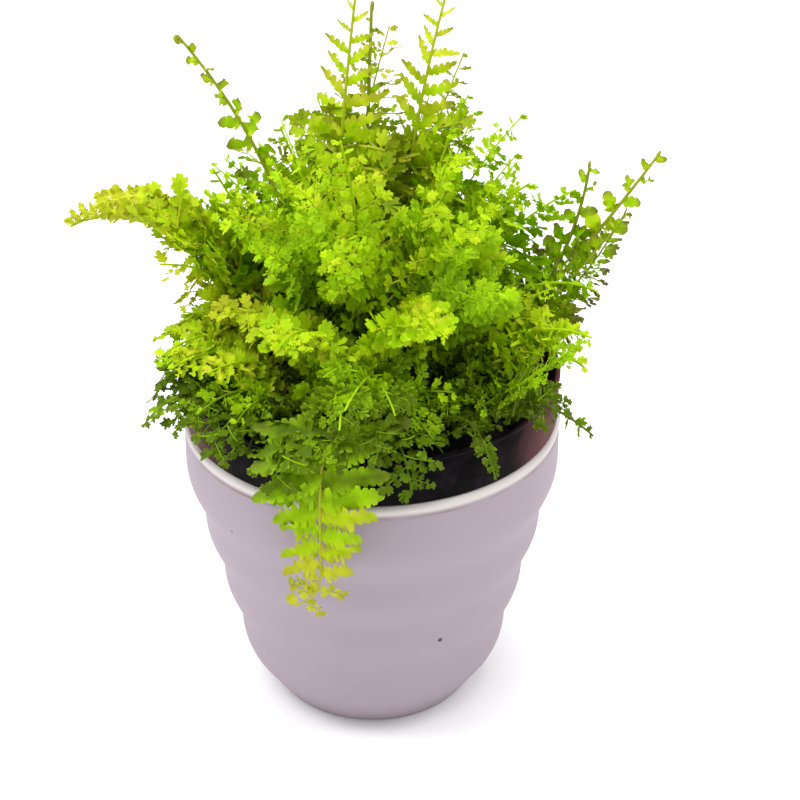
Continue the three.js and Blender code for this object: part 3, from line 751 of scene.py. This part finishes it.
def fan(cup, seed):
    """A small wedge of a leaflet with five rounded lobes."""
    draw = np.random.default_rng(seed)
    start_clean()
    edge = [(0.0, 0.0)] + FAN_EDGE + [(x, -y) for x, y in reversed(FAN_EDGE)]
    bpy.ops.mesh.primitive_circle_add(vertices=len(edge), radius=1, fill_type="TRIFAN")
    form = bpy.context.object
    flat, under = both_faces(form)
    around = np.round(np.arctan2(flat[:, 0], flat[:, 1]) / math.tau * len(edge)).astype(int) % len(edge)
    middle = np.hypot(flat[:, 0], flat[:, 1]) < 0.5
    grow = 1 + draw.normal(0, 0.04, len(edge))
    lift = draw.normal(0, 0.05, len(edge))
    placed = np.zeros_like(flat)
    for i in range(len(flat)):
        if middle[i]:
            placed[i] = (0.42, 0, -0.035 if under[i] else 0.035)
        else:
            x, y = edge[around[i]]
            x, y = x * grow[around[i]], y * grow[around[i]]
            placed[i] = (x, y, cup * (x * x + y * y) + lift[around[i]] * x)
    return closed_form(form, placed, 0.45)


def turned(points, about, angle):
    """Points turned about the X, Y or Z axis by an angle in radians."""
    i, j = [(1, 2), (2, 0), (0, 1)][about]
    made = points.copy()
    made[:, i] = points[:, i] * math.cos(angle) - points[:, j] * math.sin(angle)
    made[:, j] = points[:, i] * math.sin(angle) + points[:, j] * math.cos(angle)
    return made


STALK_SIDES = 3
STALK_RINGS = 4
STALK_LENGTH = 0.9
STALK_RADIUS = 0.03
END_FAN = 0.37
LEFT_FAN = 0.48
RIGHT_FAN = 0.42


def sprig(fans, pairs, droop, seed):
    """A thin stalk with pairs of fans that shrink towards its end, and one more at the end."""
    draw = np.random.default_rng(seed)
    sway = draw.normal(0, 0.10)

    def middle_line(t):
        return np.array([t * (1 - 0.15 * droop * t), sway * t * t, -droop * t * t])

    places = []
    triangles = []
    edges = []
    for k in range(STALK_RINGS):
        t = k / (STALK_RINGS - 1) * STALK_LENGTH
        turns = np.arange(STALK_SIDES) * math.tau / STALK_SIDES
        radius = STALK_RADIUS * (1 - 0.5 * t)
        ring = [middle_line(t) + radius * np.array([0, math.cos(a), math.sin(a)]) for a in turns]
        places.append(np.array(ring))
    n = STALK_SIDES
    for k in range(STALK_RINGS - 1):
        for j in range(n):
            a, b = k * n + j, k * n + (j + 1) % n
            triangles.append([(a, b, b + n), (a, b + n, a + n)])
    top = (STALK_RINGS - 1) * n
    triangles.append([(0, 2, 1), (top, top + 1, top + 2)])
    edges.append(np.full(STALK_RINGS * n, 1.5))
    count = STALK_RINGS * n
    spots = [(1.0, 0, END_FAN)]
    for i in range(pairs):
        for hand in (1, -1):
            t = (i + 0.55 + 0.18 * hand) / (pairs + 0.35)
            size = (LEFT_FAN if hand > 0 else RIGHT_FAN) * (1 - 0.35 * t)
            spots.append((min(0.93, t), hand, size))
    for t, hand, size in spots:
        shape, faces, edge = fans[int(draw.integers(len(fans)))]
        size *= 1 + draw.normal(0, 0.10)
        placed = shape * size
        placed = turned(placed, 0, draw.normal(0, 0.36))
        placed = turned(placed, 1, draw.normal(-0.10, 0.30))
        placed = turned(placed, 2, hand * (0.98 - 0.35 * t) + draw.normal(0, 0.14))
        places.append(placed + middle_line(t - (0.04 if hand else 0.12)))
        triangles.append(faces + count)
        edges.append(edge)
        count += len(shape)
    return (
        np.concatenate(places),
        np.concatenate([np.array(t).reshape(-1, 3) for t in triangles]),
        np.concatenate(edges),
    )


TOOTHED = [
    blade(
        lobes=9, depth=0.44, width=0.25, ruffle=0.32, droop=0.05 + 0.02 * k, seed=10 + k,
        curve=0.02 * k, belly=1.4,
    )
    for k in range(VARIANTS)
]
FRINGED = [
    blade(
        lobes=7, depth=0.74, width=0.30, ruffle=0.55, droop=0.04 * k, seed=150 + k,
        curve=0.03 * k, belly=1.6,
    )
    for k in range(VARIANTS)
]
RUFFLED = [
    blade(lobes=8, depth=0.62, width=0.27, ruffle=0.6, droop=0.04 * k - 0.05, seed=30 + k, belly=2.4)
    for k in range(VARIANTS)
]
COMBED = [
    blade(
        lobes=5, depth=0.6, width=0.26, ruffle=0.25, droop=0.05 * k - 0.15, seed=130 + k,
        curve=0.05 * k + 0.04, lower=0.45, belly=1.3,
    )
    for k in range(VARIANTS)
]
WEDGES = [
    blade(lobes=3, depth=0.45, width=0.34, ruffle=0.5, droop=0.1 - 0.12 * k, seed=170 + k, belly=4)
    for k in range(VARIANTS)
]
BUDS = [
    blade(lobes=2, depth=0.15, width=0.34, ruffle=0.5, droop=0.3 - 0.3 * k, seed=190 + k, belly=3)
    for k in range(VARIANTS)
]
FANS = [fan(cup=0.12 * (k % 3) - 0.14, seed=50 + k) for k in range(VARIANTS)]
SPRIGS = [sprig(FANS, pairs=3, droop=0.08 * k, seed=70 + k) for k in range(VARIANTS)]
LONG_SPRIGS = [sprig(FANS, pairs=4, droop=0.07 * k, seed=90 + k) for k in range(VARIANTS)]

# The forms of each kind of frond, each for the leaflets that are longer than the size beside it.
FORMS = {
    "toothed": [(23, TOOTHED), (13, FRINGED), (6.5, SPRIGS), (0, FANS)],
    "combed": [(19, LONG_SPRIGS), (4.5, COMBED), (0, FANS)],
    "bud": [(13, SPRIGS), (5.5, WEDGES), (0, BUDS)],
    "ruffled": [(17, LONG_SPRIGS), (5, RUFFLED), (0, FANS)],
    "lacy": [(15, LONG_SPRIGS), (6.5, SPRIGS), (0, FANS)],
}

# ---------------------------------------------------------------- fronds
# Each frond is one piece: a tapered green stem with its leaflets set on both sides, and with the
# younger fronds of the same clump beside it. It grows out of the soil.
STEM_RADIUS = 0.85
STEM_TIP = 0.5
STEM_SIDES = 6
TWIST = {"lacy": 22, "toothed": 8, "ruffled": 14, "combed": 12, "bud": 30}
SPACING = {"lacy": 0.4, "toothed": 0.33, "ruffled": 0.26, "combed": 0.5, "bud": 1.6}
# How far a leaflet turns to the light, and the heart of the clump that it turns away from.
TO_LIGHT = {"lacy": 0.65, "toothed": 0.1, "ruffled": 0.0, "combed": 0.0, "bud": 0.0}
HEART = np.array([0.0, 0.0, 132.0])
SKY = np.array([0.0, 0.0, 0.55])
# Below this height leaves and stems are darker, more so over the next few millimetres down: painted shade
# under the dome, and in part the darker green of older leaves.
AGED_AND_SHADED_BELOW = 168
AGED_AND_SHADED_DEPTH = 32
EDGE_TONE = 0.28
ROOTED = 6.0
FEWEST_PAIRS = 5
LEAST_APART = 3.6
YOUNG_APART = 12
YOUNG_STEP = 11
YOUNG_STOUT = 0.7


def leaf_taper(share, belly):
    rise = 0.55 + 0.45 * min(1, share / 0.25)
    return rise * (0.16 + 0.84 * (1 - share**belly) ** (0.7 if belly == 1 else 1))


def turned_to_light(face, reach, base, amount):
    """The upper side of a leaflet, turned about its rib towards the open side of the clump."""
    light = base - HEART
    light = light / np.linalg.norm(light) + SKY
    light -= reach * (reach @ light)
    face = face * (1 - amount) + light * amount / max(0.2, np.linalg.norm(light))
    return face / np.linalg.norm(face)


class MeshParts:
    """Points, triangles and the tone and tan shares of a piece that is put together from parts."""

    def __init__(self):
        self.points = []
        self.triangles = []
        self.tones = []
        self.tans = []
        self.count = 0

    def add(self, points, triangles, tones, tans):
        self.points.append(points)
        self.triangles.append(triangles + self.count)
        self.tones.append(tones)
        self.tans.append(tans)
        self.count += len(points)

    def piece(self, name):
        points = np.concatenate(self.points) * MM
        triangles = np.concatenate(self.triangles)
        mesh = bpy.data.meshes.new(name)
        mesh.vertices.add(len(points))
        mesh.vertices.foreach_set("co", points.ravel())
        mesh.loops.add(triangles.size)
        mesh.loops.foreach_set("vertex_index", triangles.ravel())
        mesh.polygons.add(len(triangles))
        mesh.polygons.foreach_set("loop_start", np.arange(0, triangles.size, 3))
        mesh.update(calc_edges=True)
        mesh.validate()
        for label, shares in (("tone", self.tones), ("tan", self.tans)):
            layer = mesh.attributes.new(label, "FLOAT", "POINT")
            layer.data.foreach_set("value", np.concatenate(shares).astype(np.float32))
        mesh.set_sharp_from_angle(angle=math.radians(75))
        made = bpy.data.objects.new(mesh.name, mesh)
        scene.collection.objects.link(made)
        return made


def age_and_painted_shade(frond, heights):
    """How much darker the low parts of a frond are painted: painted shade under the dome, and in part the
    darker green of older leaves.
    """
    return frond["shade"] * np.clip((AGED_AND_SHADED_BELOW - heights) / AGED_AND_SHADED_DEPTH, 0, 1)


def add_stem(parts, points, side, up, radii, tones, tan):
    """A closed tube along points, with a radius and a tone at each."""
    turns = np.arange(STEM_SIDES) * math.tau / STEM_SIDES
    rings = []
    for k, point in enumerate(points):
        f = min(k, len(side) - 1)
        ring = point + radii[k] * (np.cos(turns)[:, None] * side[f] + np.sin(turns)[:, None] * up[f])
        rings.append(ring)
    places = np.concatenate(rings + [points[:1], points[-1:]])
    n = STEM_SIDES
    triangles = []
    for k in range(len(points) - 1):
        for j in range(n):
            a, b = k * n + j, k * n + (j + 1) % n
            triangles += [(a, b, b + n), (a, b + n, a + n)]
    first, last = len(points) * n, len(points) * n + 1
    top = (len(points) - 1) * n
    for j in range(n):
        triangles += [(first, (j + 1) % n, j), (last, top + j, top + (j + 1) % n)]
    shares = np.linspace(0, 1, len(places))
    tones = np.concatenate([np.repeat(tones, n), tones[:1], tones[-1:]])
    parts.add(places, np.array(triangles), tones, tan * (0.5 + 0.5 * shares))


def form_for(kind, size, draw):
    forms = next(forms for longer_than, forms in FORMS[kind] if size > longer_than)
    return forms[int(draw.integers(VARIANTS))]


CLEARANCE = 0.3


def through_collar(points):
    """Whether a leaflet would go through the nursery pot's wall, or stand on both sides of it."""
    low = points[points[:, 2] < NURSERY_TOP + CLEARANCE]
    from_axis = np.hypot(low[:, 0], low[:, 1])
    inside = from_axis < nursery_radius(low[:, 2]) - NURSERY_WALL - CLEARANCE
    outside = from_axis > RIM_RADIUS + CLEARANCE
    return bool(np.any(~inside & ~outside) or (inside.any() and outside.any()))


def add_frond(parts, frond, draw, tone):
    points, along, side, up = grow_stem(frond)
    count = len(points)
    shares = np.minimum(1, np.arange(count) / STEM_STEPS)
    radii = STEM_RADIUS * frond["stout"] * (1 - (1 - STEM_TIP) * shares)
    kept = np.unique(np.concatenate([np.arange(0, STEM_STEPS, 4), np.arange(STEM_STEPS, count)]))
    foot = points[:1] - np.array([[0, 0, ROOTED]])
    tan = frond["tan"]
    line = np.concatenate([foot, points[kept]])
    add_stem(
        parts,
        line,
        np.concatenate([side[:1], side[np.minimum(kept, len(side) - 1)]]),
        np.concatenate([up[:1], up[np.minimum(kept, len(up) - 1)]]),
        np.concatenate([radii[:1], radii[kept]]),
        frond["stem"] + 0.3 * tone - age_and_painted_shade(frond, line[:, 2]),
        tan,
    )
    kind = frond["kind"]
    leafy = (1 - frond["bare"]) * frond["length"]
    spacing = max(LEAST_APART, SPACING[kind] * frond["leaf"] * frond["apart"])
    pairs = max(FEWEST_PAIRS, round(leafy / spacing))
    for i in range(2 * pairs):
        hand = 1 if i % 2 == 0 else -1
        along_share = (i + 0.5) / (2 * pairs)
        share = frond["bare"] + (1 - frond["bare"]) * along_share
        at = share * STEM_STEPS
        low = min(STEM_STEPS - 1, int(at))
        base = points[low] + (points[low + 1] - points[low]) * (at - low)
        size = frond["leaf"] * leaf_taper(along_share, frond["belly"]) * draw.uniform(0.88, 1.14)
        forward = frond["ahead"] + 14 * along_share - hand * frond["skew"]
        forward = math.radians(forward + draw.normal(0, 7))
        fold_now = frond["fold"] + (frond.get("fold_tip", frond["fold"]) - frond["fold"]) * along_share
        fold = math.radians(fold_now + draw.normal(0, 0.6 * TWIST[kind]))
        twist = math.radians(draw.normal(0, TWIST[kind]))
        run, out, rise = along[low], hand * side[low], up[low]
        reach = out * math.cos(forward) + run * math.sin(forward)
        reach = reach * math.cos(fold) + rise * math.sin(fold)
        reach /= np.linalg.norm(reach)
        across = run - reach * (run @ reach)
        across /= np.linalg.norm(across)
        to_light = frond.get("to_light", TO_LIGHT[kind])
        face = turned_to_light(np.cross(reach, across) * hand, reach, base, to_light)
        across = np.cross(face, reach) * hand
        face, across = (
            face * math.cos(twist) - across * math.sin(twist),
            across * math.cos(twist) + face * math.sin(twist),
        )
        shape, triangles, edge = form_for(kind, size, draw)
        placed = (
            base
            + shape[:, :1] * size * reach
            + shape[:, 1:2] * size * across
            + shape[:, 2:] * size * face
        )
        if hand < 0:
            triangles = triangles[:, ::-1]
        own = tone + draw.normal(0, 0.07) + frond["rise"] * along_share**2
        own -= age_and_painted_shade(frond, base[2])
        if through_collar(placed):
            continue
        parts.add(
            placed,
            triangles,
            own + EDGE_TONE * edge - EDGE_TONE / 2,
            np.clip(tan * (0.5 * edge * along_share + np.clip(3 * shape[:, 0] - 2, 0, 1)), 0, 1),
        )


# The leaf's colour by tone, from the deep green of the shade to the yellow of the newest tips.
DARK_LEAF = (0.15, (0.105, 0.19, 0.001))
PALER_LEAVES = [
    (0.55, (0.385, 0.66, 0.001)), (0.8, (0.53, 0.71, 0.003)), (1.0, (0.63, 0.66, 0.03)),
]
TAN = (0.20, 0.15, 0.04)
SEE_THROUGH = 0.38


def leaf_green():
    made, nodes, links, shader = material("leaf green")
    where = nodes.new("ShaderNodeTexCoord").outputs["Object"]
    tone = nodes.new("ShaderNodeAttribute")
    tone.attribute_name = "tone"
    tan = nodes.new("ShaderNodeAttribute")
    tan.attribute_name = "tan"
    mottle = combined(nodes, links, "MULTIPLY", noise(nodes, links, where, 260, 4), 0.35)
    shade = combined(nodes, links, "ADD", tone.outputs["Fac"], mottle)
    ramp = nodes.new("ShaderNodeValToRGB")
    stops = ramp.color_ramp.elements
    stops.remove(stops[1])
    stops[0].position = DARK_LEAF[0]
    stops[0].color = (*DARK_LEAF[1], 1)
    for position, leaf_colour in PALER_LEAVES:
        stops.new(position).color = (*leaf_colour, 1)
    links.new(shade, ramp.inputs["Fac"])
    colour = mixed(nodes, links, tan.outputs["Fac"], ramp.outputs["Color"], TAN)
    links.new(colour, shader.inputs["Base Color"])
    shader.inputs["Roughness"].default_value = 0.55
    shader.inputs["Specular IOR Level"].default_value = 0.12
    bump = nodes.new("ShaderNodeBump")
    bump.inputs["Strength"].default_value = 0.3
    bump.inputs["Distance"].default_value = 0.3 * MM
    links.new(noise(nodes, links, where, 600, 3), bump.inputs["Height"])
    links.new(bump.outputs["Normal"], shader.inputs["Normal"])
    through = nodes.new("ShaderNodeBsdfTranslucent")
    links.new(colour, through.inputs["Color"])
    mix = nodes.new("ShaderNodeMixShader")
    mix.inputs["Fac"].default_value = SEE_THROUGH
    links.new(shader.outputs["BSDF"], mix.inputs[1])
    links.new(through.outputs["BSDF"], mix.inputs[2])
    links.new(mix.outputs["Shader"], nodes["Material Output"].inputs["Surface"])
    return made


leaf_material = leaf_green()
for number, frond in enumerate(frond_plan(), 1):
    draw = np.random.default_rng(700 + number)
    parts = MeshParts()
    tone = frond["tone"] + draw.normal(0, 0.05)
    add_frond(parts, frond, draw, tone)
    node = f"frond_{number:02d}"
    for k in range(frond["young"]):
        lean_low, lean_high = frond["lean"]
        spread = YOUNG_APART + YOUNG_STEP * k
        young = {
            **frond,
            "azimuth": frond["azimuth"] + (1 if k % 2 else -1) * spread + draw.normal(0, 4),
            "length": frond["length"] * draw.uniform(*frond["young_length"]),
            "lean": (lean_low, lean_high + draw.uniform(*frond["young_lean"])),
            "leaf": frond["leaf"] * draw.uniform(0.75, 0.95),
            "kind": frond.get("young_kind", frond["kind"]),
            "stout": YOUNG_STOUT,
            "roll": frond["roll"] + draw.normal(0, 22),
            "sweep": frond["sweep"] + draw.normal(0, 12),
        }
        add_frond(parts, young, draw, tone + draw.normal(0.02, 0.05))
    piece = parts.piece("fern_" + node)
    piece.data.materials.append(leaf_material)
    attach(piece, "root")
    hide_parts(node)

# ---------------------------------------------------------------- floor and light
# A pale table and soft light from above and from both sides.
FLOOR_SIZE = 12.0

start_clean()
bpy.ops.mesh.primitive_plane_add(size=FLOOR_SIZE, location=(0, 0, 0))
floor = bpy.context.object
floor.name = "floor"
pale, nodes, links, shader = material("pale floor")
shader.inputs["Base Color"].default_value = (0.92, 0.92, 0.93, 1)
shader.inputs["Roughness"].default_value = 0.9
floor.data.materials.append(pale)


def soft_light(name, place, size, power):
    start_clean()
    bpy.ops.object.light_add(type="AREA", location=place)
    light = bpy.context.object
    light.name = name
    light.data.shape = "DISK"
    light.data.size = size
    light.data.energy = power
    light.rotation_euler = (Vector((0, 0, 0.15)) - Vector(place)).to_track_quat("-Z", "Y").to_euler()


soft_light("light_top", (-0.12, 0.0, 1.38), 1.5, 19)
soft_light("light_left", (-0.95, -0.1, 1.05), 0.7, 7)
soft_light("light_right", (0.95, -0.1, 0.95), 0.7, 5)

world = bpy.data.worlds.new("soft white")
world.use_nodes = True
world.node_tree.nodes["Background"].inputs["Color"].default_value = (1, 1, 1, 1)
world.node_tree.nodes["Background"].inputs["Strength"].default_value = 0.85
scene.world = world
scene.view_settings.view_transform = "Standard"
